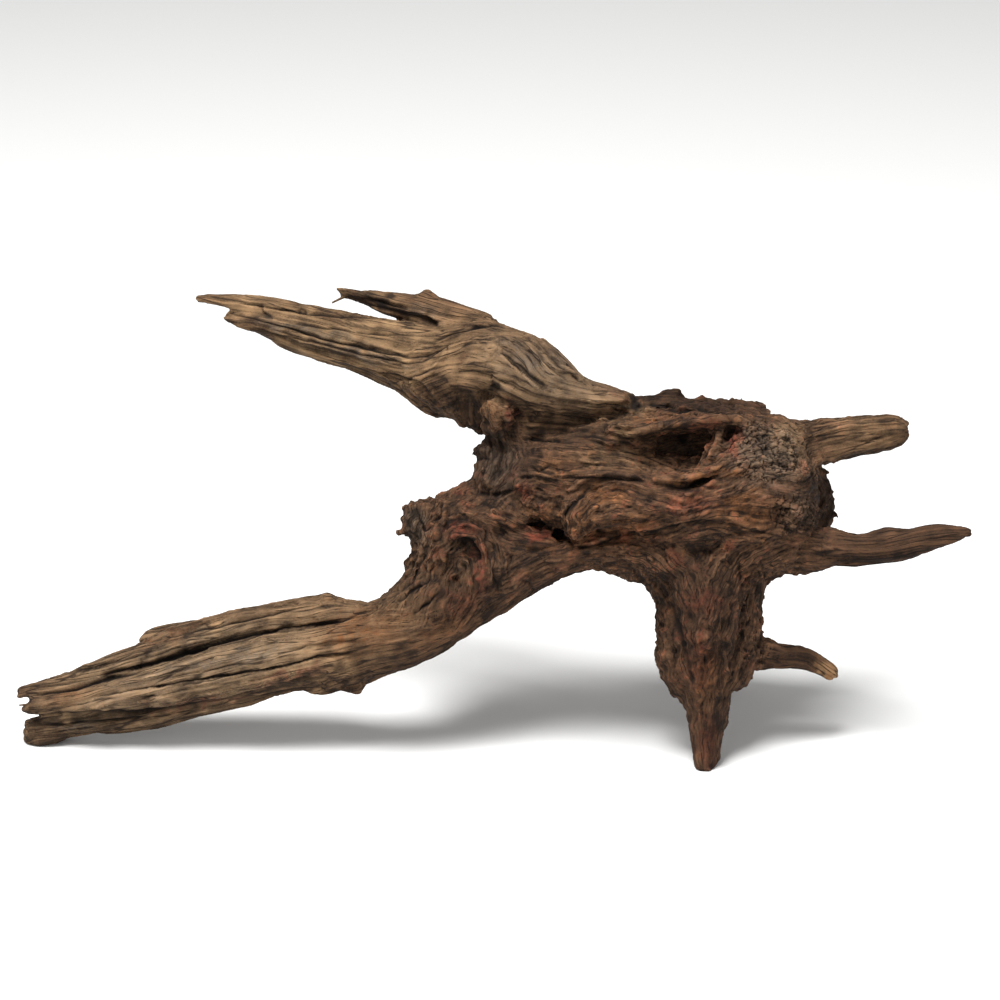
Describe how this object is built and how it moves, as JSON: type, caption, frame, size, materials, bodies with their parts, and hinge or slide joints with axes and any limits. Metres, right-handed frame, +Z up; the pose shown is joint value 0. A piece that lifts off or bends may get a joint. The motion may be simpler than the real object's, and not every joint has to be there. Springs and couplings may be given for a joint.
{
  "type": "driftwood",
  "caption": "Weathered root driftwood: a hollowed, gnarled crown with long split limbs to one side, short limbs to the other, and root tips it stands on.",
  "frame": {"origin": "middle of the bounding box on the ground that the three root tips stand on", "axes": "+Z up, +X to the short limbs, along the longest side, -Y to the side with the long hollow"},
  "size_m": [0.4783, 0.1311, 0.2151],
  "materials": {
    "dark_wood": "rough dark heartwood with reddish patches",
    "brown_wood": "rough brown root wood",
    "weathered_wood": "dry greyish tan wood, split along the grain"
  },
  "bodies": {
    "root": {"crown": "dark_wood", "front_leg": "dark_wood", "rear_root": "dark_wood", "left_root": "brown_wood", "leg_spur": "brown_wood", "upper_right_limb": "brown_wood", "lower_right_limb": "brown_wood", "shoulder": "weathered_wood", "upper_prong": "weathered_wood", "lower_left_limb": "weathered_wood", "upper_left_limb": "weathered_wood"}
  },
  "joints": []
}
